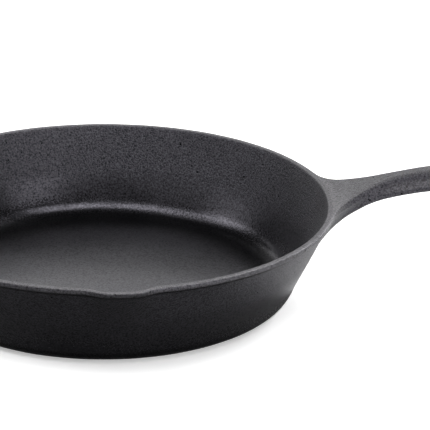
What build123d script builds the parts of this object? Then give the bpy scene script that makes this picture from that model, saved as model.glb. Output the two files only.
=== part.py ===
from build123d import *
import math
import os

# A cast iron skillet, millimetres, +Z up. The flat base rests on Z = 0 with the pan's axis on Z.
# The handle points along +X and the pour spout along -Y. The real pan is one casting: the nodes
# are its regions, which meet face to face.

# Pan
RIM_RADIUS = 152.5          # outside of the rim band: a 12 inch pan
PAN_HEIGHT = 62.5
BASE_RADIUS = 113.8         # flat underside
BASE_CORNER_RADIUS = 14.8   # outside, base to wall
WALL_FLARE = 25.7           # degrees from vertical
FLOOR_THICKNESS = 5.5
FLOOR_CORNER_RADIUS = 16.0  # inside, floor to wall
MOUTH_RADIUS = 148.3        # inner edge of the rim
BAND_HEIGHT = 3.2
BAND_PROUD = 1.4            # how far the rim band stands out from the wall
BAND_EDGE = 1.2             # the band's bevelled top edge

# Pour spout
SPOUT_AZIMUTH = -90.0
SPOUT_HALF_ANGLE = 10.0
SPOUT_REACH = 6.6           # how far the lip bulges out at the rim
SPOUT_DEPTH = 30.0          # how far below the rim the bulge starts
SPOUT_STEPS = 8

# Handle
HANDLE_END = 300.0
HANDLE_START = 138.0        # inside the pan wall, before the pan is cut away
GRIP_HALF_WIDTH = 13.0
GRIP_THICKNESS = 12.1
SPINE_HALF_WIDTH = 7.0
SPINE_HEIGHT = 5.0          # from the spine's top down to the flank beside it
SPINE_START = 166.0         # the flanks beside the spine open here as points
SPINE_EVEN = (192.0, 256.0)  # and are even between these
SPINE_END = 276.0
SPINE_END_HALF_WIDTH = 19.5  # past the handle's sides, so that the flanks run out
ROOT_FILLET = 40.0          # in plan, rim to grip
ROOT_PLATE = 6.0            # thickness of the flared plate at the root
WEB_HALF_WIDTH = 11.0
WEB_FILLET = 18.0           # in plan, rim to the web under the plate
ROOT_END = 190.0
EYE_START = 262.0
EYE_RADIUS = 15.5
EYE_FILLET = 40.0
HOLE_RADIUS = 7.0

# Side view of the handle: distance out from the pan's axis, and height above the rim
TOP_LINE = [(HANDLE_START, 0), (152.5, 0.2), (165, 4.9), (180, 9.7), (197, 13.8), (215, 16.8),
            (250, 19.3), (HANDLE_END, 18.5)]
UNDER_LINE = [(HANDLE_START, -30), (152.5, -17), (165, -7.6), (180, -1.1), (197, 2.4), (215, 4.7)]

FLARE = math.radians(WALL_FLARE)
WALL_TOP = PAN_HEIGHT - BAND_HEIGHT
FAR = 400.0                 # longer than anything that it cuts


def outer_wall(z):
    """Radius of the outside of the wall at a height."""
    return RIM_RADIUS - BAND_PROUD - (WALL_TOP - z) * math.tan(FLARE)


def inner_wall(z):
    """Radius of the inside of the wall at a height."""
    return MOUTH_RADIUS - (PAN_HEIGHT - z) * math.tan(FLARE)


# Where the inside corner arc leaves the flat floor, and where it joins the wall
FLOOR_RADIUS = inner_wall(FLOOR_THICKNESS) - FLOOR_CORNER_RADIUS * math.tan((math.pi / 2 - FLARE) / 2)
CORNER_TOP = FLOOR_THICKNESS + FLOOR_CORNER_RADIUS * (1 - math.sin(FLARE))
SPOUT_FOOT = PAN_HEIGHT - SPOUT_DEPTH


def ring(*edges):
    """A full turn about Z of an outline drawn as (radius, height)."""
    return revolve(make_face([Plane.XZ * edge for edge in edges]), Axis.Z)


def cooking_floor():
    return Pos(0, 0, FLOOR_THICKNESS / 2) * Cylinder(FLOOR_RADIUS, FLOOR_THICKNESS)


def corner_ring():
    """The ring that turns from the floor into the wall, inside and outside."""
    sweep_angle = 90 - WALL_FLARE
    outside = CenterArc((BASE_RADIUS, BASE_CORNER_RADIUS), BASE_CORNER_RADIUS, -90, sweep_angle)
    inside = CenterArc((FLOOR_RADIUS, FLOOR_THICKNESS + FLOOR_CORNER_RADIUS), FLOOR_CORNER_RADIUS,
                       -90, sweep_angle)
    outer_top = (outer_wall(CORNER_TOP), CORNER_TOP)
    return ring(
        Line((FLOOR_RADIUS, 0), outside @ 0),
        outside,
        Polyline(outside @ 1, outer_top, inside @ 1),
        inside,
        Line(inside @ 0, (FLOOR_RADIUS, 0)),
    )


def spout_wedge():
    """The sector that the pour spout takes out of the wall and the rim."""
    side = math.radians(SPOUT_HALF_ANGLE)
    ends = [(FAR * math.cos(angle), FAR * math.sin(angle)) for angle in (-side, side)]
    face = make_face(Polyline((0, 0), *ends, close=True))
    wedge = extrude(Pos(0, 0, SPOUT_FOOT) * face, PAN_HEIGHT)
    return Rot(0, 0, SPOUT_AZIMUTH) * wedge


def side_wall():
    wall = ring(Polyline(
        (outer_wall(CORNER_TOP), CORNER_TOP),
        (outer_wall(WALL_TOP), WALL_TOP),
        (inner_wall(WALL_TOP), WALL_TOP),
        (inner_wall(CORNER_TOP), CORNER_TOP),
        close=True,
    ))
    return wall - spout_wedge()


def rim_band():
    band = ring(Polyline(
        (inner_wall(WALL_TOP), WALL_TOP),
        (RIM_RADIUS, WALL_TOP),
        (RIM_RADIUS, PAN_HEIGHT - BAND_EDGE),
        (RIM_RADIUS - BAND_EDGE, PAN_HEIGHT),
        (MOUTH_RADIUS, PAN_HEIGHT),
        close=True,
    ))
    return band - spout_wedge()


def spout_section(angle):
    """The wall and rim cut on the radius at an angle from the spout's middle."""
    swell = SPOUT_REACH * (1 + math.cos(math.pi * angle / SPOUT_HALF_ANGLE)) / 2
    outline = [
        (inner_wall(SPOUT_FOOT), SPOUT_FOOT),
        (outer_wall(SPOUT_FOOT), SPOUT_FOOT),
        (outer_wall(WALL_TOP), WALL_TOP),
        (RIM_RADIUS, WALL_TOP),
        (RIM_RADIUS, PAN_HEIGHT - BAND_EDGE),
        (RIM_RADIUS - BAND_EDGE, PAN_HEIGHT),
        (MOUTH_RADIUS, PAN_HEIGHT),
    ]
    bulged = [(r + swell * (z - SPOUT_FOOT) / SPOUT_DEPTH, z) for r, z in outline]
    azimuth = math.radians(SPOUT_AZIMUTH + angle)
    plane = Plane(
        origin=(0, 0, 0),
        x_dir=(math.cos(azimuth), math.sin(azimuth), 0),
        z_dir=(math.sin(azimuth), -math.cos(azimuth), 0),
    )
    return plane * make_face(Polyline(*bulged, close=True))


def pour_spout():
    """The sector of the wall and rim that swells out into a lip."""
    step = 2 * SPOUT_HALF_ANGLE / SPOUT_STEPS
    return loft([spout_section(-SPOUT_HALF_ANGLE + i * step) for i in range(SPOUT_STEPS + 1)])


def top_line(drop=0.0):
    """The handle's top in side view, lowered by a drop."""
    return Spline(*[(x, PAN_HEIGHT + z - drop) for x, z in TOP_LINE])


def under_line():
    """The handle's underside, parallel to its top past the root."""
    far_points = [(x, z - GRIP_THICKNESS) for x, z in TOP_LINE if x > UNDER_LINE[-1][0]]
    return Spline(*[(x, PAN_HEIGHT + z) for x, z in UNDER_LINE + far_points])


def side_slab(upper, lower):
    """The space between two lines of the side view, wider than the handle."""
    outline = [upper, lower, Line(upper @ 0, lower @ 0), Line(upper @ 1, lower @ 1)]
    return extrude(make_face([Plane.XZ * edge for edge in outline]), FAR / 2, both=True)


def plan_slab(face):
    """A plan outline as a tall upright block."""
    return extrude(face, FAR)


def flared_plan(half_width, fillet, end):
    """A bar along X whose sides sweep out to the rim on arcs that touch the rim's circle."""
    reach = RIM_RADIUS + fillet
    arc_x = math.sqrt(reach ** 2 - (half_width + fillet) ** 2)
    touch = RIM_RADIUS / reach
    bar = Pos((arc_x + end) / 2, 0) * Rectangle(end - arc_x, 2 * half_width)
    flare = make_face(Polyline(
        (touch * arc_x, touch * (half_width + fillet)),
        (arc_x, half_width + fillet),
        (arc_x, -half_width - fillet),
        (touch * arc_x, -touch * (half_width + fillet)),
        close=True,
    ))
    bites = [Pos(arc_x, side * (half_width + fillet)) * Circle(fillet) for side in (-1, 1)]
    neck = make_face(Polyline(
        (HANDLE_START, touch * (half_width + fillet)),
        (touch * arc_x, touch * (half_width + fillet)),
        (touch * arc_x, -touch * (half_width + fillet)),
        (HANDLE_START, -touch * (half_width + fillet)),
        close=True,
    ))
    return (flare - bites[0] - bites[1]) + neck + bar


def eye_plan():
    """The round end of the handle, blended into the grip's sides."""
    eye_x = HANDLE_END - EYE_RADIUS
    reach = EYE_RADIUS + EYE_FILLET
    rise = GRIP_HALF_WIDTH + EYE_FILLET
    arc_x = eye_x - math.sqrt(reach ** 2 - rise ** 2)
    touch = EYE_RADIUS / reach
    touch_x = eye_x + touch * (arc_x - eye_x)
    blend = Pos((arc_x + touch_x) / 2, 0) * Rectangle(touch_x - arc_x, 2 * touch * rise)
    for side in (-1, 1):
        blend -= Pos(arc_x, side * rise) * Circle(EYE_FILLET)
    return Pos(eye_x, 0) * Circle(EYE_RADIUS) + blend


def grip_plan():
    eye_x = HANDLE_END - EYE_RADIUS
    return flared_plan(GRIP_HALF_WIDTH, ROOT_FILLET, eye_x) + eye_plan()


def between(start, end):
    """A block that holds the part of the handle between two distances from the pan's axis."""
    return Pos((start + end) / 2, 0, PAN_HEIGHT) * Box(end - start, FAR, FAR)


def pan_outside():
    """Everything within the outer surface of the wall and rim band, for cutting the handle off."""
    return ring(Polyline(
        (0, 0),
        (outer_wall(0), 0),
        (outer_wall(WALL_TOP), WALL_TOP),
        (RIM_RADIUS, WALL_TOP),
        (RIM_RADIUS, PAN_HEIGHT - BAND_EDGE),
        (RIM_RADIUS - BAND_EDGE, PAN_HEIGHT),
        (RIM_RADIUS - BAND_EDGE, FAR),
        (0, FAR),
        close=True,
    ))


def handle_root():
    """The flared plate off the rim, with the arched web that carries it down to the wall."""
    plate = side_slab(top_line(), top_line(ROOT_PLATE)) & plan_slab(
        flared_plan(GRIP_HALF_WIDTH, ROOT_FILLET, FAR))
    web = side_slab(top_line(), under_line()) & plan_slab(
        flared_plan(WEB_HALF_WIDTH, WEB_FILLET, FAR))
    root = (plate + web) & between(HANDLE_START, ROOT_END)
    return root - pan_outside() - side_steps()


def spine_plan():
    """The spine seen from above, spreading at each end to the handle's sides."""
    corners = [(SPINE_START, SPINE_END_HALF_WIDTH), (SPINE_EVEN[0], SPINE_HALF_WIDTH),
               (SPINE_EVEN[1], SPINE_HALF_WIDTH), (SPINE_END, SPINE_END_HALF_WIDTH)]
    mirrored = [(x, -y) for x, y in reversed(corners)]
    return make_face(Polyline(*corners, *mirrored, close=True))


def above_flanks():
    """The layer of the handle that holds the spine, down to the level of the flanks."""
    return side_slab(top_line(-SPINE_HEIGHT), top_line(SPINE_HEIGHT))


def side_steps():
    """What is cleared away on both sides of the spine, down to the flanks."""
    strip = Pos((SPINE_START + SPINE_END) / 2, 0) * Rectangle(SPINE_END - SPINE_START, FAR)
    return above_flanks() & plan_slab(strip - spine_plan())


def handle_body(start, end):
    """The full handle between two distances from the pan's axis, without the steps."""
    return side_slab(top_line(), under_line()) & plan_slab(grip_plan()) & between(start, end)


def hole():
    return Pos(HANDLE_END - EYE_RADIUS, 0, PAN_HEIGHT) * Cylinder(HOLE_RADIUS, FAR)


def handle_grip():
    """The broad lower part of the grip, which carries the spine on its back."""
    return handle_body(ROOT_END, EYE_START) - above_flanks()


def grip_spine():
    """The raised spine along the top of the grip."""
    return handle_body(ROOT_END, EYE_START) & above_flanks() & plan_slab(spine_plan())


def hanging_eye():
    return handle_body(EYE_START, HANDLE_END) - side_steps() - hole()


NODES = {
    "cooking_floor": cooking_floor,
    "corner_ring": corner_ring,
    "side_wall": side_wall,
    "rim_band": rim_band,
    "pour_spout": pour_spout,
    "handle_root": handle_root,
    "handle_grip": handle_grip,
    "grip_spine": grip_spine,
    "hanging_eye": hanging_eye,
}

os.makedirs("parts", exist_ok=True)
for name, make in NODES.items():
    export_step(make(), f"parts/{name}.step")
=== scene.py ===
"""A cast iron skillet with a banded rim, a pour spout and an arched handle, and its studio."""
import math

import bmesh
import bpy
from mathutils import Matrix, Vector, noise


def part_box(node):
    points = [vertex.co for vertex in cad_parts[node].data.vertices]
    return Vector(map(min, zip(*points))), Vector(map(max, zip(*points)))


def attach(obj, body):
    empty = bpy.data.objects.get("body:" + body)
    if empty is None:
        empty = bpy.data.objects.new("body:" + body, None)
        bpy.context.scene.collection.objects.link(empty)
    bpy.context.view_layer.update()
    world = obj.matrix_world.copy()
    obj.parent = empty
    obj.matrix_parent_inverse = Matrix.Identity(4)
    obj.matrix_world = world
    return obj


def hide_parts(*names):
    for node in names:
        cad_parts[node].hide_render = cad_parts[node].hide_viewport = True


bl_info = {
    "name": "Cast Iron Skillet",
    "version": (1, 0, 0),
    "blender": (4, 5, 0),
    "location": "3D View > Sidebar > Skillet",
    "description": "Models a cast iron skillet, its seasoned iron finish and a pale studio",
    "category": "Add Mesh",
}

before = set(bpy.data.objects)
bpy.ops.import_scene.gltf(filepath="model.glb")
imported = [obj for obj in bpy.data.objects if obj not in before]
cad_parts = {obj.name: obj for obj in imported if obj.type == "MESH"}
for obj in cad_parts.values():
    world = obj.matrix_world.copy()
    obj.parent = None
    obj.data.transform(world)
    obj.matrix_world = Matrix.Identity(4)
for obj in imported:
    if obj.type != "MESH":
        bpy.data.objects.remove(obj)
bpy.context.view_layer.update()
MM = 0.001

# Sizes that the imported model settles, in metres
FLOOR_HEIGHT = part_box("cooking_floor")[1][2]
CORNER_RADIUS, _, CORNER_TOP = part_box("corner_ring")[1]
WALL_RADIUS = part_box("side_wall")[1][0]
RIM_RADIUS, _, PAN_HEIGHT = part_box("rim_band")[1]
BAND_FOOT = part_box("rim_band")[0][2]
SPOUT_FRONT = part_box("pour_spout")[0][1]
SPOUT_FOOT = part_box("pour_spout")[0][2]
HANDLE_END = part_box("hanging_eye")[1][0]
WALL_SLOPE = (WALL_RADIUS - CORNER_RADIUS) / (BAND_FOOT - CORNER_TOP)
CORNER_TURN = math.pi / 2 - math.atan(WALL_SLOPE)   # from flat floor or base up to the wall

SEGMENTS = 90               # round the pan; the handle's root takes eight of them
ROOT_COLUMNS = 8
ROOT_DEPTHS = (7.0, 10.0, 13.5, 17.0, 20.5, 24.0, 27.0)  # mm below the rim, down the wall

# The handle's section at a few distances from the pan's axis, in millimetres:
# distance, top above the rim, half width of the spine, width of its rounded edge, depth of its
# step, half width at the flank's edge, depth of that edge, half width of the underside, thickness
SECTIONS = (
    (163.0, 4.1, 18.3, 1.3, 4.4, 16.2, 9.0, 11.5, 13.0),
    (176.0, 8.5, 9.8, 3.1, 3.9, 14.0, 6.9, 11.2, 11.2),
    (190.0, 12.8, 4.6, 4.1, 3.9, 13.4, 7.6, 10.8, 11.6),
    (215.0, 17.3, 3.2, 4.6, 3.9, 13.1, 8.4, 10.6, 12.5),
    (245.0, 19.6, 3.2, 4.6, 3.9, 13.1, 8.4, 10.6, 12.5),
    (262.0, 19.6, 5.4, 3.6, 3.2, 13.2, 7.4, 10.8, 12.2),
    (272.0, 19.2, 9.6, 2.0, 2.4, 13.9, 6.0, 11.4, 11.8),
    (284.5, 18.9, 12.2, 1.8, 2.2, 15.4, 5.6, 13.2, 11.6),
)
TOP, SPINE, FLANK, DROP, FOOT, THICK = 1, 2, 5, 6, 7, 8   # columns of that table

# How far the root's curves follow the pan before they turn into the handle, in millimetres:
# out of and along the rim, then up and along the wall at its foot
ROOT_PULL_OUT, ROOT_PULL_ALONG = 16, 26
FOOT_PULL_UP, FOOT_PULL_ALONG = 15, 14
ROOT_STATIONS = 7
GRIP_STATIONS = (167.0, 171.5, 176.0, 181.0, 186.0, 191.0, 198.0, 206.0, 215.0, 225.0, 235.0, 245.0,
                 254.0, 262.0, 267.0, 271.5, 275.5, 278.7, 281.6, 284.5, 287.4, 290.3)
END_STATIONS = (293.4, 296.0, 298.0, 299.2)
# How the rows of a section share its rounded edge, its step, its flank and its lower side
EDGE_OUT = (0.0, 0.35, 0.70, 0.90, 1.0)
STEP_DOWN = (0.0, 0.07, 0.26, 0.64, 0.96)
FLANK_OUT = (0.18, 0.40, 0.68, 1.0)
FLANK_DOWN = (0.10, 0.32, 0.64, 1.0)
SIDE_IN = (0.03, 0.12, 0.40, 1.0)
SIDE_DOWN = (0.28, 0.63, 0.90, 1.0)

HOLE_RADIUS = 7.0 * MM
HOLE_EDGE = 1.5 * MM        # width of the rounded edge round the hanging hole
HOLE_ROUNDING = ((0.55, 0.25), (0.60, 0.75), (0.35, 1.6))   # mm inwards and mm deep, ring by ring

SPOUT_FLAT = 0.28           # share of the spout's half angle that swells out fully
SPOUT_SWELL = 1.6           # how late the swelling comes on the way up the wall

# Skin: how smooth the floor is when its corner is 1, how pale each rubbed place is, with painted light
# on the rim's edge and up-facing tops, and how much painted shade darkens the line under the band.
# Wear, painted light and shade are chosen for the look, not measured.
FLOOR_POLISH = 0.45
RIM_TOP_WEAR_AND_LIGHT = 0.65
RIM_EDGE_WEAR_AND_HIGHLIGHT = 1.15
RIM_SIDE_WEAR_AND_SHADE = 0.4
HANDLE_TOP_WEAR_AND_LIGHT = 0.45
FLANK_WEAR_AND_LIGHT = 0.68
BAND_PAINTED_SHADE = 0.85
# Marks of the skin per metre: mottled wear, patches of oil film, pits and loose sand
MOTTLE_SCALE = 26.0
BLOTCH_SCALE = 9.0
PIT_SCALE = 120.0
SAND_SCALE = 480.0

# Camera: place in millimetres, then how far it turns right of +Y, looks down and rolls, in degrees
CAMERA_PLACE = (-119.9, -1714.8, 728.6)
CAMERA_TURN, CAMERA_DROP, CAMERA_ROLL = 6.44, 21.46, 0.87
WORLD_STRENGTH = 0.03       # faint white from all round

# White floor: its tone, and how its glow rises between two distances from the pan, in metres
FLOOR_TONE = 0.9
GLOW_REACH = (0.5, 1.4)
GLOW_STRENGTH = (0.35, 1.2)
# Bounce floor and cards, just under the white floor and not seen by the camera, in metres
BOUNCE_TONE = 0.2
BOUNCE_SIZE = 8
BOUNCE_HEIGHT = -0.2 * MM
CARD_TONE = 0.8
CARD_SIZE = 1.1
CARD_HEIGHT = -0.1 * MM
CARD_GLOW = 0.3
CARDS = (("right_card", 0.68, 0.1), ("front_card", -0.1, -0.80))

# Soft boxes stand on a dome round the pan and face one spot, in metres. Each has a name, a
# bearing clockwise from the back and a rise, in degrees, and a power in watts.
SOFT_BOX_REACH = 1.6
SOFT_BOX_SIZE = 0.75
SOFT_BOX_AIM = Vector((0, 0, 0.04))
SOFT_BOXES = (
    ("back_window", 6.4, 35, 2.9),
    ("back_low", 6.4, 12, 2.0),
    ("back_low_left", -15.6, 22, 4.0),
    ("back_right", 51.4, 35, 19.0),
    ("back_low_right", 51.4, 12, 14.0),
    ("right_low", 141.4, 12, 14.8),
    ("right_high", 141.4, 60, 7.9),
    ("front_high", 186.4, 60, 5.8),
    ("left_high", 231.4, 60, 5.8),
    ("left_low", 231.4, 12, 2.4),
    ("left_side", 276.4, 35, 7.6),
    ("left_top", 276.4, 60, 3.0),
    ("left_back_low", 321.4, 12, 2.0),
)


class SkilletPanSettings(bpy.types.PropertyGroup):
    """Sizes of the pan."""

    base_radius: bpy.props.FloatProperty(
        name="Base Radius", description="Radius of the flat underside",
        default=113.8 * MM, min=0.05, subtype="DISTANCE", unit="LENGTH")
    base_corner: bpy.props.FloatProperty(
        name="Base Corner", description="Radius of the outside corner from base to wall",
        default=14.8 * MM, min=0.002, subtype="DISTANCE", unit="LENGTH")
    floor_corner: bpy.props.FloatProperty(
        name="Floor Corner", description="Radius of the inside corner from floor to wall",
        default=16.0 * MM, min=0.002, subtype="DISTANCE", unit="LENGTH")
    mouth_radius: bpy.props.FloatProperty(
        name="Mouth Radius", description="Radius of the rim's inner edge",
        default=148.3 * MM, min=0.05, subtype="DISTANCE", unit="LENGTH")
    spout_half_angle: bpy.props.FloatProperty(
        name="Spout Half Angle", description="Half the sector that the pour spout takes",
        default=math.radians(9.6), min=0.02, subtype="ANGLE", unit="ROTATION")
    spout_azimuth: bpy.props.FloatProperty(
        name="Spout Azimuth", description="Direction of the pour spout from the handle",
        default=math.radians(-90.0), subtype="ANGLE", unit="ROTATION")


class SkilletFinishSettings(bpy.types.PropertyGroup):
    """Colour and surface of the seasoned iron."""

    iron_color: bpy.props.FloatVectorProperty(
        name="Iron Colour", description="Colour of the seasoned iron",
        default=(0.0020, 0.0020, 0.0023), size=3, min=0.0, max=1.0, subtype="COLOR")
    # This pale colour also paints the highlight on the rim's edge and on up-facing tops.
    worn_and_lit_color: bpy.props.FloatVectorProperty(
        name="Worn Colour", description="Colour where hands and tools have rubbed the seasoning",
        default=(0.092, 0.089, 0.092), size=3, min=0.0, max=1.0, subtype="COLOR")
    film_tint: bpy.props.FloatVectorProperty(
        name="Film Tint", description="Cool tint that the oil film gives to what it mirrors",
        default=(0.90, 0.87, 1.0), size=3, min=0.0, max=1.0, subtype="COLOR")
    wall_roughness: bpy.props.FloatProperty(
        name="Wall Roughness", description="Mean roughness of the walls and the handle",
        default=0.45, min=0.05, max=1.0, subtype="FACTOR")
    floor_roughness: bpy.props.FloatProperty(
        name="Floor Roughness", description="Mean roughness of the smoother cooking floor",
        default=0.25, min=0.05, max=1.0, subtype="FACTOR")
    grain_size: bpy.props.FloatProperty(
        name="Grain Size", description="Width of one grain of the sand-cast surface",
        default=1.2 * MM, min=0.0001, subtype="DISTANCE", unit="LENGTH")
    grain_depth: bpy.props.FloatProperty(
        name="Grain Depth", description="Height of the sand-cast grain",
        default=0.5 * MM, min=0.0, subtype="DISTANCE", unit="LENGTH")


class SkilletStageSettings(bpy.types.PropertyGroup):
    """Studio floor and camera."""

    floor_size: bpy.props.FloatProperty(
        name="Floor Size", description="Width of the pale floor",
        default=30.0, min=1.0, subtype="DISTANCE", unit="LENGTH")
    lens: bpy.props.FloatProperty(
        name="Lens", description="Focal length of the camera in millimetres",
        default=232.8, min=10.0)


def mm(*values):
    """Millimetres to metres."""
    return tuple(v * MM for v in values)


def ramp(value, start, end):
    """Share of the way from start to end, held between 0 and 1."""
    return min(max((value - start) / (end - start), 0.0), 1.0)


def outer_wall(z):
    """Outside radius of the wall at a height."""
    return WALL_RADIUS - (BAND_FOOT - z) * WALL_SLOPE


def inner_wall(z, mouth):
    """Inside radius of the wall at a height, below a mouth of a given radius."""
    return mouth - (PAN_HEIGHT - z) * WALL_SLOPE


def corner_arc(centre, radius, steps):
    """Points of an arc from straight down round to the slope of the wall."""
    angles = [i * CORNER_TURN / steps for i in range(steps + 1)]
    return [(centre[0] + radius * math.sin(a), centre[1] - radius * math.cos(a)) for a in angles]


def pan_profile(pan):
    """The pan's outline as (radius, height), from the base out, over the rim and in to the floor."""
    base = [(0.06, 0.0), (0.09, 0.0), (pan.base_radius - 3 * MM, 0.0)]
    corner = corner_arc((pan.base_radius, pan.base_corner), pan.base_corner, 5)
    low_wall = [(outer_wall(z), z) for z in mm(14, 21, 28)]
    root_wall = [(outer_wall(PAN_HEIGHT - d), PAN_HEIGHT - d) for d in mm(*reversed(ROOT_DEPTHS))]
    top, rim, wall = PAN_HEIGHT, RIM_RADIUS, WALL_RADIUS
    band = [
        (wall - 0.15 * MM, BAND_FOOT - 0.35 * MM),
        (rim - 0.30 * MM, BAND_FOOT - 0.02 * MM),
        (rim + 0.05 * MM, BAND_FOOT + 0.55 * MM),
        (rim + 0.05 * MM, top - 0.65 * MM),
        (rim - 0.20 * MM, top - 0.10 * MM),
        (rim - 0.9 * MM, top),
    ]
    mouth = pan.mouth_radius
    lip = [
        (mouth + 1.1 * MM, top),
        (mouth + 0.35 * MM, top - 0.12 * MM),
        (mouth - 0.22 * MM, top - 0.65 * MM),
        (inner_wall(top - 2.2 * MM, mouth), top - 2.2 * MM),
    ]
    inside = [(inner_wall(z, mouth), z) for z in mm(55, 48, 41, 34, 27, 21)]
    flat = inner_wall(FLOOR_HEIGHT, mouth) - pan.floor_corner * math.tan(CORNER_TURN / 2)
    floor_arc = corner_arc((flat, FLOOR_HEIGHT + pan.floor_corner), pan.floor_corner, 6)
    floor = [(flat - 4 * MM, FLOOR_HEIGHT), (0.08, FLOOR_HEIGHT), (0.05, FLOOR_HEIGHT)]
    return base + corner + low_wall + root_wall + band + lip + inside + floor_arc[::-1] + floor


def edit(piece):
    """Open a piece in edit mode with vertices, edges and faces selectable."""
    bpy.ops.object.select_all(action="DESELECT")
    bpy.context.view_layer.objects.active = piece
    piece.select_set(True)
    bpy.ops.object.mode_set(mode="EDIT")
    bpy.ops.mesh.select_mode(type="FACE")
    return bmesh.from_edit_mesh(piece.data)


def select_faces(piece, wanted):
    """Select just the faces that a test wants."""
    mesh = bmesh.from_edit_mesh(piece.data)
    for face in mesh.faces:
        face.select_set(False)
    for face in mesh.faces:
        if wanted(face):
            face.select_set(True)
    bmesh.update_edit_mesh(piece.data)


def turn_pan_blank(pan):
    """Raise a base disc through the pan's outline into a closed bowl."""
    bpy.ops.object.select_all(action="DESELECT")
    profile = pan_profile(pan)
    first_radius, first_height = profile[0]
    half_step = math.pi / SEGMENTS
    bpy.ops.mesh.primitive_circle_add(
        vertices=SEGMENTS, radius=first_radius, fill_type="NGON",
        location=(0, 0, first_height), rotation=(0, 0, half_step))
    piece = bpy.context.active_object
    piece.name = "skillet_casting"
    piece.data.name = "skillet_casting"
    bpy.ops.object.transform_apply(location=True, rotation=True, scale=True)
    edit(piece)
    bpy.ops.mesh.select_all(action="SELECT")
    for (r0, z0), (r1, z1) in zip(profile, profile[1:]):
        bpy.ops.mesh.extrude_region_move(TRANSFORM_OT_translate={"value": (0, 0, z1 - z0)})
        bpy.ops.transform.resize(value=(r1 / r0, r1 / r0, 1), center_override=(0, 0, z1))
    bpy.ops.mesh.select_all(action="SELECT")
    bpy.ops.mesh.normals_make_consistent(inside=False)
    bpy.ops.object.mode_set(mode="OBJECT")
    return piece


def section_rows(top, spine, edge, step, flank, drop, foot, thick):
    """One side of the handle's section, from the spine's edge down to the underside, in mm."""
    rows = [(spine + edge * out, top - step * down) for out, down in zip(EDGE_OUT, STEP_DOWN)]
    shoulder = spine + edge
    rows += [(shoulder + (flank - shoulder) * out, top - step - (drop - step) * down)
             for out, down in zip(FLANK_OUT, FLANK_DOWN)]
    rows += [(flank + (foot - flank) * inward, top - drop - (thick - drop) * down)
             for inward, down in zip(SIDE_IN, SIDE_DOWN)]
    return rows


def smooth_between(table, x):
    """Values of a table at x, on smooth curves through its rows."""
    last = len(table) - 1
    i = max(k for k in range(last) if k == 0 or table[k][0] <= x)

    def slope(k, column):
        a, b = max(k - 1, 0), min(k + 1, last)
        return (table[b][column] - table[a][column]) / (table[b][0] - table[a][0])

    span = table[i + 1][0] - table[i][0]
    u = min(max((x - table[i][0]) / span, 0.0), 1.0)
    row = [x]
    for c in range(1, len(table[0])):
        row.append(hermite(table[i][c], slope(i, c) * span, table[i + 1][c], slope(i + 1, c) * span, u))
    return row


def hermite(start, start_pull, end, end_pull, u):
    """A curve that leaves start and meets end along the two pulls."""
    return (start * (2 * u ** 3 - 3 * u ** 2 + 1) + start_pull * (u ** 3 - 2 * u ** 2 + u)
            + end * (3 * u ** 2 - 2 * u ** 3) + end_pull * (u ** 3 - u ** 2))


def handle_ring(x):
    """Places of the handle's rim of points at a distance from the pan's axis, by (row, column)."""
    eye_x = SECTIONS[-1][0]
    values = smooth_between(SECTIONS, min(x, eye_x))
    if x > eye_x:
        across = (x - eye_x) / (HANDLE_END / MM - eye_x + 0.4)
        narrow = math.sqrt(1 - across ** 2)
        turn_in = 2.2 * (1 - narrow) ** 2
        for column in (SPINE, FLANK, FOOT):
            values[column] *= narrow
        values[TOP] -= turn_in + 0.01 * (x - eye_x)
        values[THICK] -= 2 * turn_in
        values[DROP] = min(values[DROP], values[THICK] - 1.5)
    rows = section_rows(*values[1:])
    last = len(rows) - 1
    ring = {}
    for row, (y, z) in enumerate(rows):
        for column in range(ROOT_COLUMNS + 1):
            across = 1 - 2 * column / ROOT_COLUMNS
            if row in (0, last) or abs(across) == 1:
                ring[row, column] = Vector(mm(x, y * across, PAN_HEIGHT / MM + z))
    return ring


def root_start(mesh, layers):
    """Places and directions in which the handle leaves the pan, by (row, column)."""
    places = {(v[layers[0]], v[layers[1]]): v.co.copy() for v in mesh.verts if v[layers[0]] >= 0}
    last = max(row for row, _ in places)
    up_wall = Vector((WALL_SLOPE, 0, 1)).normalized()
    start = {}
    for (row, column), place in places.items():
        if row not in (0, last) and column not in (0, ROOT_COLUMNS):
            continue
        azimuth = math.atan2(place.y, place.x)
        side = 1 - 2 * column / ROOT_COLUMNS
        outward = Vector((math.cos(azimuth), math.sin(azimuth), 0))
        along = Vector((math.sin(azimuth), -math.cos(azimuth), 0)) * (1 if side > 0 else -1)
        if row == 0:
            pull = outward * ROOT_PULL_OUT * MM * (1 - side ** 2)
            pull += along * ROOT_PULL_ALONG * MM * side ** 2
        elif row == last:
            rise = up_wall.x * outward + up_wall.z * Vector((0, 0, 1))
            pull = rise * FOOT_PULL_UP * MM + along * FOOT_PULL_ALONG * MM * side ** 2
        else:
            pull = along * ROOT_PULL_ALONG * MM
        start[row, column] = (place, pull)
    return start


def number_root_patch(piece):
    """Number the wall's points where the handle grows out, and select those faces."""
    mesh = edit(piece)
    rows_layer = mesh.verts.layers.int.new("root_row")
    columns_layer = mesh.verts.layers.int.new("root_column")
    step = 2 * math.pi / SEGMENTS
    reach = step * ROOT_COLUMNS / 2
    low = PAN_HEIGHT - ROOT_DEPTHS[-1] * MM
    heights = []
    patch = []
    for vert in mesh.verts:
        vert[rows_layer] = vert[columns_layer] = -1
        radius = math.hypot(vert.co.x, vert.co.y)
        on_band = vert.co.z >= BAND_FOOT
        skin = RIM_RADIUS - 2.0 * MM if on_band else outer_wall(vert.co.z) - 1.6 * MM
        outside = radius > skin
        azimuth = math.atan2(vert.co.y, vert.co.x)
        if outside and vert.co.z > low - 0.1 * MM and abs(azimuth) < reach + step / 4:
            patch.append((vert, azimuth))
            heights.append(round(vert.co.z, 6))
    order = sorted(set(heights), reverse=True)
    for vert, azimuth in patch:
        vert[rows_layer] = order.index(round(vert.co.z, 6))
        vert[columns_layer] = round(ROOT_COLUMNS / 2 - azimuth / step)
    start = root_start(mesh, (rows_layer, columns_layer))
    bmesh.update_edit_mesh(piece.data)
    select_faces(piece, lambda f: all(v[rows_layer] >= 0 for v in f.verts))
    return start


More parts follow.
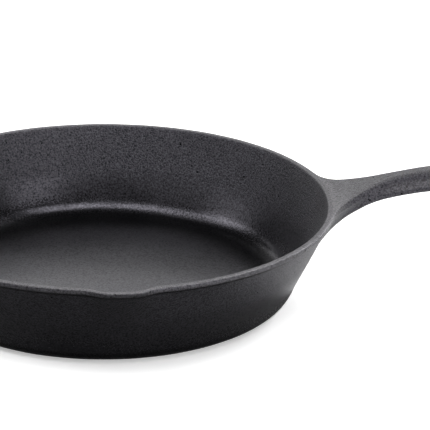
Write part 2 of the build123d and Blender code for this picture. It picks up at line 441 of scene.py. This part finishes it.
def spread_inside(ring, last):
    """Fill a ring of places with an even grid, for the handle's closed end."""
    grid = dict(ring)
    for row in range(1, last):
        v = row / last
        for column in range(1, ROOT_COLUMNS):
            u = column / ROOT_COLUMNS
            across = ring[row, 0].lerp(ring[row, ROOT_COLUMNS], u)
            down = ring[0, column].lerp(ring[last, column], v)
            corners = ring[0, 0].lerp(ring[0, ROOT_COLUMNS], u).lerp(
                ring[last, 0].lerp(ring[last, ROOT_COLUMNS], u), v)
            grid[row, column] = across + down - corners
    return grid


def draw_out_ring(piece, ring):
    """Extrude the selected end of the handle once and move its points onto a ring of places."""
    bpy.ops.mesh.extrude_region_move(TRANSFORM_OT_translate={"value": (0, 0, 0)})
    mesh = bmesh.from_edit_mesh(piece.data)
    rows_layer = mesh.verts.layers.int["root_row"]
    columns_layer = mesh.verts.layers.int["root_column"]
    last = max(row for row, _ in ring)
    grid = spread_inside(ring, last)
    for vert in mesh.verts:
        if vert.select:
            vert.co = grid[vert[rows_layer], vert[columns_layer]]
    bmesh.update_edit_mesh(piece.data)


def draw_out_handle(piece):
    """Grow the handle out of the wall: a blended root, the arched grip and the end."""
    start = number_root_patch(piece)
    first = SECTIONS[0][0]
    end = handle_ring(first)
    ahead = handle_ring(first + 2.0)
    for station in range(1, ROOT_STATIONS + 1):
        u = station / ROOT_STATIONS
        ring = {}
        for key, (place, pull) in start.items():
            reach = (end[key] - place).length
            end_pull = (ahead[key] - end[key]).normalized() * reach
            ring[key] = hermite(place, pull, end[key], end_pull, u)
        draw_out_ring(piece, ring)
    for x in GRIP_STATIONS + END_STATIONS:
        draw_out_ring(piece, handle_ring(x))
    bpy.ops.object.mode_set(mode="OBJECT")


def open_hanging_hole(piece):
    """Cut the round hole through the eye, with rounded edges, and join top to underside."""
    eye_x = SECTIONS[-1][0] * MM
    reach = (GRIP_STATIONS[-1] - SECTIONS[-1][0]) * MM + 0.2 * MM
    mesh = edit(piece)
    mesh.normal_update()

    def in_patch(face):
        centre = face.calc_center_median()
        flat = abs(face.normal.z) > 0.7
        width = max(abs(v.co.y) for v in face.verts)
        in_middle = abs(centre.y) < 0.5 * (width + 6.3 * MM) and width < 7.4 * MM
        return flat and abs(centre.x - eye_x) < reach and in_middle

    select_faces(piece, in_patch)
    bpy.ops.mesh.delete(type="FACE")
    bpy.ops.mesh.select_mode(type="EDGE")
    mesh = bmesh.from_edit_mesh(piece.data)
    near = [e for e in mesh.edges if e.is_boundary]
    for edge in mesh.edges:
        edge.select_set(False)
    for edge in near:
        edge.select_set(True)
    verts = {v for e in near for v in e.verts}
    for vert in verts:
        angle = math.atan2(vert.co.y, vert.co.x - eye_x)
        vert.co.x = eye_x + (HOLE_RADIUS + HOLE_EDGE) * math.cos(angle)
        vert.co.y = (HOLE_RADIUS + HOLE_EDGE) * math.sin(angle)
    bmesh.update_edit_mesh(piece.data)
    for inward, depth in HOLE_ROUNDING:
        bpy.ops.mesh.extrude_edges_move(TRANSFORM_OT_translate={"value": (0, 0, 0)})
        mesh = bmesh.from_edit_mesh(piece.data)
        edge_verts = [v for v in mesh.verts if v.select]
        middle = sum(v.co.z for v in edge_verts) / len(edge_verts)
        for vert in edge_verts:
            flat = Vector((vert.co.x - eye_x, vert.co.y, 0))
            vert.co -= flat.normalized() * inward * MM
            vert.co.z -= depth * MM if vert.co.z > middle else -depth * MM
        bmesh.update_edit_mesh(piece.data)
    bpy.ops.mesh.bridge_edge_loops()
    bpy.ops.mesh.select_all(action="SELECT")
    bpy.ops.mesh.normals_make_consistent(inside=False)
    bpy.ops.object.mode_set(mode="OBJECT")


def subdivide_piece(piece, levels):
    """Round a piece off by subdivision."""
    smooth = piece.modifiers.new("smooth", "SUBSURF")
    smooth.levels = levels
    smooth.render_levels = levels
    bpy.context.view_layer.objects.active = piece
    bpy.ops.object.modifier_apply(modifier=smooth.name)


def swell_spout(piece, pan):
    """Push the wall and rim out into the pour spout."""
    reach = -SPOUT_FRONT - RIM_RADIUS
    for vert in piece.data.vertices:
        place = vert.co
        azimuth = math.atan2(place.y, place.x) - pan.spout_azimuth
        if abs(azimuth) > pan.spout_half_angle or place.z < SPOUT_FOOT:
            continue
        rise = (place.z - SPOUT_FOOT) / (PAN_HEIGHT - SPOUT_FOOT)
        aside = max(abs(azimuth) / pan.spout_half_angle - SPOUT_FLAT, 0.0) / (1 - SPOUT_FLAT)
        share = 0.5 + 0.5 * math.cos(math.pi * aside)
        radius = math.hypot(place.x, place.y)
        grown = 1 + reach * share * rise ** SPOUT_SWELL / radius
        place.x *= grown
        place.y *= grown


def roughen_casting(piece, height=0.10 * MM, width=22 * MM):
    """Give the skin the slight waviness of a sand casting."""
    normals = [vert.normal.copy() for vert in piece.data.vertices]
    for vert, normal in zip(piece.data.vertices, normals):
        wave = noise.noise(vert.co / width) + 0.5 * noise.noise(vert.co / width * 2.3)
        if vert.co.z > 0.5 * MM:
            vert.co += normal * wave * height


class SKILLET_OT_casting(bpy.types.Operator):
    """Model the skillet's casting: pan, rim, handle, hanging eye and pour spout"""

    bl_idname = "skillet.casting"
    bl_label = "Skillet Casting"
    bl_options = {"REGISTER", "UNDO"}

    def execute(self, context):
        pan = context.scene.skillet_pan
        piece = turn_pan_blank(pan)
        draw_out_handle(piece)
        open_hanging_hole(piece)
        subdivide_piece(piece, 2)
        swell_spout(piece, pan)
        roughen_casting(piece)
        bpy.ops.object.select_all(action="DESELECT")
        piece.select_set(True)
        bpy.context.view_layer.objects.active = piece
        bpy.ops.object.shade_smooth()
        for name in ("root_row", "root_column"):
            layer = piece.data.attributes.get(name)
            if layer:
                piece.data.attributes.remove(layer)
        paint_wear_and_light(piece)
        piece.data.materials.append(seasoned_iron(context.scene.skillet_finish))
        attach(piece, "root")
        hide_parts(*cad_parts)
        return {"FINISHED"}


def spot_polish(place, normal):
    """The floor is smooth and its corner smoother, and the wall roughens on the way up."""
    height = place.z - FLOOR_HEIGHT
    up_wall = ramp(height, 30 * MM, 8 * MM)
    off_floor = ramp(height, 0.3 * MM, 3.3 * MM)
    return min(up_wall, FLOOR_POLISH + (1 - FLOOR_POLISH) * off_floor)


def spot_wear_and_light(place, normal):
    """Hands and tools rub the rim, the top of the handle and its flanks; painted light makes the rim's
    outer edge and up-facing tops paler and the band's side less so.
    """
    radius = math.hypot(place.x, place.y)
    facing_up = ramp(normal.z, 0.5, 0.9)
    on_handle = ramp(radius, RIM_RADIUS + 1 * MM, RIM_RADIUS + 15 * MM)
    on_rim = 0.0
    # The rim's top, outer edge and band side get their paleness by how they face: wear with painted
    # highlight and shade.
    if radius > WALL_RADIUS - 5 * MM and place.z > BAND_FOOT:
        on_rim = RIM_TOP_WEAR_AND_LIGHT * facing_up
        if radius > RIM_RADIUS - 1.6 * MM:
            on_rim = RIM_EDGE_WEAR_AND_HIGHLIGHT if normal.z > 0.3 else RIM_SIDE_WEAR_AND_SHADE
    # Up-facing handle tops and flanks are paler: wear and painted light.
    grip = max(HANDLE_TOP_WEAR_AND_LIGHT * facing_up, FLANK_WEAR_AND_LIGHT * spot_coarse(place, normal))
    return on_rim * (1 - on_handle) + grip * on_handle


def spot_coarse(place, normal):
    """The flanks beside the grip's spine keep the coarse sand of the mould."""
    along = ramp(math.hypot(place.x, place.y), 180 * MM, 195 * MM)
    sideways = ramp(abs(normal.z), 0.9, 0.75)
    below_step = ramp(abs(place.y), 7.8 * MM, 8.6 * MM)
    return along * sideways * below_step * ramp(normal.z, 0.35, 0.55)


def spot_painted_shade(place, normal):
    """Painted shade: the floor's edge and the line under the rim band mirror less, so that they stay
    dark.
    """
    radius = math.hypot(place.x, place.y)
    under_band = BAND_FOOT - 1.5 * MM < place.z < BAND_FOOT + 0.2 * MM
    faces_out = normal.x * place.x + normal.y * place.y > 0
    if under_band and faces_out and place.x < 0.95 * radius:
        return BAND_PAINTED_SHADE
    height = place.z - FLOOR_HEIGHT
    if height <= -0.5 * MM:
        return 0.0
    return ramp(radius, 90 * MM, 107 * MM) * ramp(height, 4.2 * MM, 1.8 * MM)


def paint_wear_and_light(piece):
    """Note how smooth, rubbed and painted with light, coarse and painted with shade each spot is, for
    the material.
    """
    vertices = piece.data.vertices
    spots = (("polish", spot_polish), ("rubbed", spot_wear_and_light), ("coarse", spot_coarse),
             ("painted_shade", spot_painted_shade))
    for name, spot in spots:
        layer = piece.data.attributes.new(name, "FLOAT", "POINT")
        layer.data.foreach_set("value", [spot(vert.co, vert.normal) for vert in vertices])


def noise_node(tree, place, scale, detail, rough=0.5):
    """A noise texture on the casting's own coordinates."""
    node = tree.nodes.new("ShaderNodeTexNoise")
    node.inputs["Scale"].default_value = scale
    node.inputs["Detail"].default_value = detail
    node.inputs["Roughness"].default_value = rough
    tree.links.new(place.outputs["Object"], node.inputs["Vector"])
    return node


def map_node(tree, source, from_min, from_max, to_min, to_max):
    """A clamped straight map of one value onto another range."""
    node = tree.nodes.new("ShaderNodeMapRange")
    node.inputs["From Min"].default_value = from_min
    node.inputs["From Max"].default_value = from_max
    node.inputs["To Min"].default_value = to_min
    node.inputs["To Max"].default_value = to_max
    tree.links.new(source, node.inputs["Value"])
    return node


def math_node(tree, operation, first, second):
    """One sum on two linked values."""
    node = tree.nodes.new("ShaderNodeMath")
    node.operation = operation
    tree.links.new(first, node.inputs[0])
    tree.links.new(second, node.inputs[1])
    return node


def attribute_node(tree, name):
    """One of the casting's painted values."""
    node = tree.nodes.new("ShaderNodeAttribute")
    node.attribute_name = name
    return node


def seasoned_iron(finish):
    """Sand-cast iron under a baked oil film: grain, pits, mottling, rubbed edges with painted
    highlight, and painted shade.
    """
    material = bpy.data.materials.new("seasoned_iron")
    material.use_nodes = True
    tree = material.node_tree
    links = tree.links
    shader = tree.nodes["Principled BSDF"]
    place = tree.nodes.new("ShaderNodeTexCoord")
    polish = attribute_node(tree, "polish")
    # rubbed carries wear and painted light on the rim's edge and up-facing tops
    rubbed = attribute_node(tree, "rubbed")
    coarse = attribute_node(tree, "coarse")
    painted_shade = attribute_node(tree, "painted_shade")

    grain = noise_node(tree, place, 1 / finish.grain_size, 3.0, 0.65)
    mottle = noise_node(tree, place, MOTTLE_SCALE, 4.0)
    blotch = noise_node(tree, place, BLOTCH_SCALE, 3.0)

    pits = tree.nodes.new("ShaderNodeTexVoronoi")
    pits.inputs["Scale"].default_value = PIT_SCALE
    links.new(place.outputs["Object"], pits.inputs["Vector"])
    off_floor = math_node(tree, "ADD", pits.outputs["Distance"], polish.outputs["Fac"])
    pit_floor = map_node(tree, off_floor.outputs["Value"], 0.05, 0.12, 0.0, 1.0)

    # colour: mottled seasoning, paler where it is rubbed thin and where painted light lies on the rim's
    # edge and up-facing tops, darker in the pits
    wear = map_node(tree, mottle.outputs["Fac"], 0.35, 0.75, 0.0, 0.022)
    rough_sand = noise_node(tree, place, SAND_SCALE, 2.0)
    both_grains = math_node(tree, "MULTIPLY", grain.outputs["Fac"], rough_sand.outputs["Fac"])
    worn_grains = map_node(tree, both_grains.outputs["Value"], 0.12, 0.38, 0.15, 0.85)
    edge_wear_and_light = math_node(tree, "MULTIPLY", rubbed.outputs["Fac"], worn_grains.outputs["Result"])
    wear_and_light = math_node(tree, "ADD", wear.outputs["Result"], edge_wear_and_light.outputs["Value"])
    tint = tree.nodes.new("ShaderNodeMix")
    tint.data_type = "RGBA"
    tint.inputs["A"].default_value = (*finish.iron_color, 1)
    tint.inputs["B"].default_value = (*finish.worn_and_lit_color, 1)
    links.new(wear_and_light.outputs["Value"], tint.inputs["Factor"])
    links.new(tint.outputs["Result"], shader.inputs["Base Color"])

    # roughness: smooth floor, satin walls, patches of thicker and thinner oil film
    base = map_node(
        tree, polish.outputs["Fac"], 0.0, 1.0, finish.wall_roughness, finish.floor_roughness)
    patch = map_node(tree, blotch.outputs["Fac"], 0.3, 0.7, -0.04, 0.04)
    speckle = map_node(tree, grain.outputs["Fac"], 0.3, 0.7, -0.05, 0.05)
    film = math_node(tree, "ADD", patch.outputs["Result"], speckle.outputs["Result"])
    gloss = math_node(tree, "ADD", base.outputs["Result"], film.outputs["Value"])
    links.new(gloss.outputs["Value"], shader.inputs["Roughness"])

    # sheen: grains mirror more or less than their neighbours, places of painted shade and pits hardly
    sparkle = map_node(tree, grain.outputs["Fac"], 0.34, 0.66, 0.16, 0.90)
    cloud = map_node(tree, blotch.outputs["Fac"], 0.35, 0.65, 0.82, 1.18)
    clouded = math_node(tree, "MULTIPLY", sparkle.outputs["Result"], cloud.outputs["Result"])
    # painted shade: the floor's edge and the line under the rim band lose sheen
    shade = map_node(tree, painted_shade.outputs["Fac"], 0.0, 1.0, 1.0, 0.25)
    shaded = math_node(tree, "MULTIPLY", clouded.outputs["Value"], shade.outputs["Result"])
    sheen = math_node(tree, "MULTIPLY", shaded.outputs["Value"], pit_floor.outputs["Result"])
    links.new(sheen.outputs["Value"], shader.inputs["Specular IOR Level"])
    shader.inputs["Specular Tint"].default_value = (*finish.film_tint, 1)

    # relief: fine grain, coarse sand on the flanks and a few sunken pits
    cover = map_node(tree, polish.outputs["Fac"], 0.0, 0.45, 1.0, 0.10)
    relief = math_node(tree, "MULTIPLY", grain.outputs["Fac"], cover.outputs["Result"])
    sand = math_node(tree, "MULTIPLY", rough_sand.outputs["Fac"], coarse.outputs["Fac"])
    skin = math_node(tree, "ADD", relief.outputs["Value"], sand.outputs["Value"])
    height = math_node(tree, "MULTIPLY", skin.outputs["Value"], pit_floor.outputs["Result"])
    bump = tree.nodes.new("ShaderNodeBump")
    bump.inputs["Strength"].default_value = 1.0
    bump.inputs["Distance"].default_value = finish.grain_depth
    links.new(height.outputs["Value"], bump.inputs["Height"])
    links.new(bump.outputs["Normal"], shader.inputs["Normal"])
    return material


def soft_box(name, bearing, rise, power):
    """A square soft box on a wide dome over the pan, turned to face it."""
    reach = SOFT_BOX_REACH * math.cos(math.radians(rise))
    height = SOFT_BOX_REACH * math.sin(math.radians(rise))
    turn = math.radians(bearing)
    data = bpy.data.lights.new(name, "AREA")
    data.shape = "SQUARE"
    data.size = SOFT_BOX_SIZE
    data.energy = power
    light = bpy.data.objects.new(name, data)
    light.location = (reach * math.sin(turn), reach * math.cos(turn), height)
    aim = SOFT_BOX_AIM - light.location
    light.rotation_euler = aim.to_track_quat("-Z", "Y").to_euler()
    bpy.context.scene.collection.objects.link(light)


def floor_plane(name, size, height, tone):
    """A flat matt square of the studio, and its paint."""
    bpy.ops.object.select_all(action="DESELECT")
    bpy.ops.mesh.primitive_plane_add(size=size, location=(0, 0, height))
    plane = bpy.context.active_object
    plane.name = name
    material = bpy.data.materials.new(name)
    material.use_nodes = True
    plane.data.materials.append(material)
    paint = material.node_tree.nodes["Principled BSDF"]
    paint.inputs["Base Color"].default_value = (tone, tone, tone, 1)
    paint.inputs["Roughness"].default_value = 1.0
    paint.inputs["Specular IOR Level"].default_value = 0.0
    paint.inputs["Emission Color"].default_value = (1, 1, 1, 1)
    return plane, paint


def glow_with_distance(paint):
    """Let the floor glow more where the soft boxes no longer reach it."""
    tree = paint.id_data
    place = tree.nodes.new("ShaderNodeTexCoord")
    reach = tree.nodes.new("ShaderNodeVectorMath")
    reach.operation = "LENGTH"
    tree.links.new(place.outputs["Object"], reach.inputs[0])
    glow = map_node(tree, reach.outputs["Value"], *GLOW_REACH, *GLOW_STRENGTH)
    tree.links.new(glow.outputs["Result"], paint.inputs["Emission Strength"])


def studio_floor(stage):
    """A white floor to look at, and under it a dimmer floor and two cards that light the pan."""
    white, paint = floor_plane("white_floor", stage.floor_size, 0, FLOOR_TONE)
    white.visible_glossy = False
    white.visible_diffuse = False
    white.visible_shadow = False
    glow_with_distance(paint)
    bounce, _ = floor_plane("bounce_floor", BOUNCE_SIZE, BOUNCE_HEIGHT, BOUNCE_TONE)
    bounce.visible_camera = False
    for name, x, y in CARDS:
        card, paint = floor_plane(name, CARD_SIZE, CARD_HEIGHT, CARD_TONE)
        card.location = (x, y, CARD_HEIGHT)
        card.visible_camera = False
        paint.inputs["Emission Strength"].default_value = CARD_GLOW


def studio_camera(stage):
    """A long lens, a little above the rim, with the handle to the right."""
    data = bpy.data.cameras.new("camera")
    data.lens = stage.lens
    data.sensor_width = 36.0
    data.clip_end = 50.0
    camera = bpy.data.objects.new("camera", data)
    bpy.context.scene.collection.objects.link(camera)
    camera.location = mm(*CAMERA_PLACE)
    turn, drop, roll = map(math.radians, (CAMERA_TURN, CAMERA_DROP, CAMERA_ROLL))
    camera.rotation_mode = "XYZ"
    level = math.cos(drop)
    forward = Vector((math.sin(turn) * level, math.cos(turn) * level, -math.sin(drop)))
    aim = forward.to_track_quat("-Z", "Y").to_matrix().to_4x4()
    camera.rotation_euler = (aim @ Matrix.Rotation(roll, 4, "Z")).to_euler()
    bpy.context.scene.camera = camera


class SKILLET_OT_stage(bpy.types.Operator):
    """Set the pale floor, the soft lights and the camera"""

    bl_idname = "skillet.stage"
    bl_label = "Studio Stage"
    bl_options = {"REGISTER", "UNDO"}

    def execute(self, context):
        stage = context.scene.skillet_stage
        studio_floor(stage)
        studio_camera(stage)
        world = bpy.data.worlds.new("studio")
        context.scene.world = world
        world.use_nodes = True
        sky = world.node_tree.nodes["Background"]
        sky.inputs["Color"].default_value = (1, 1, 1, 1)
        sky.inputs["Strength"].default_value = WORLD_STRENGTH
        for name, bearing, rise, power in SOFT_BOXES:
            soft_box(name, bearing, rise, power)
        context.scene.view_settings.view_transform = "Standard"
        return {"FINISHED"}


class SKILLET_PT_panel(bpy.types.Panel):
    """Lists the skillet's settings and the buttons that build it"""

    bl_idname = "SKILLET_PT_panel"
    bl_label = "Cast Iron Skillet"
    bl_space_type = "VIEW_3D"
    bl_region_type = "UI"
    bl_category = "Skillet"

    def draw(self, context):
        for name in ("skillet_pan", "skillet_finish", "skillet_stage"):
            group = getattr(context.scene, name)
            box = self.layout.box()
            for prop in group.bl_rna.properties:
                if not prop.is_readonly and prop.identifier != "name":
                    box.prop(group, prop.identifier)
        self.layout.operator("skillet.casting")
        self.layout.operator("skillet.stage")


CLASSES = (
    SkilletPanSettings,
    SkilletFinishSettings,
    SkilletStageSettings,
    SKILLET_OT_casting,
    SKILLET_OT_stage,
    SKILLET_PT_panel,
)


def register():
    for cls in CLASSES:
        bpy.utils.register_class(cls)
    bpy.types.Scene.skillet_pan = bpy.props.PointerProperty(type=SkilletPanSettings)
    bpy.types.Scene.skillet_finish = bpy.props.PointerProperty(type=SkilletFinishSettings)
    bpy.types.Scene.skillet_stage = bpy.props.PointerProperty(type=SkilletStageSettings)


def unregister():
    del bpy.types.Scene.skillet_stage
    del bpy.types.Scene.skillet_finish
    del bpy.types.Scene.skillet_pan
    for cls in reversed(CLASSES):
        bpy.utils.unregister_class(cls)


def main():
    register()
    bpy.ops.skillet.casting()
    bpy.ops.skillet.stage()


if __name__ == "__main__":
    main()
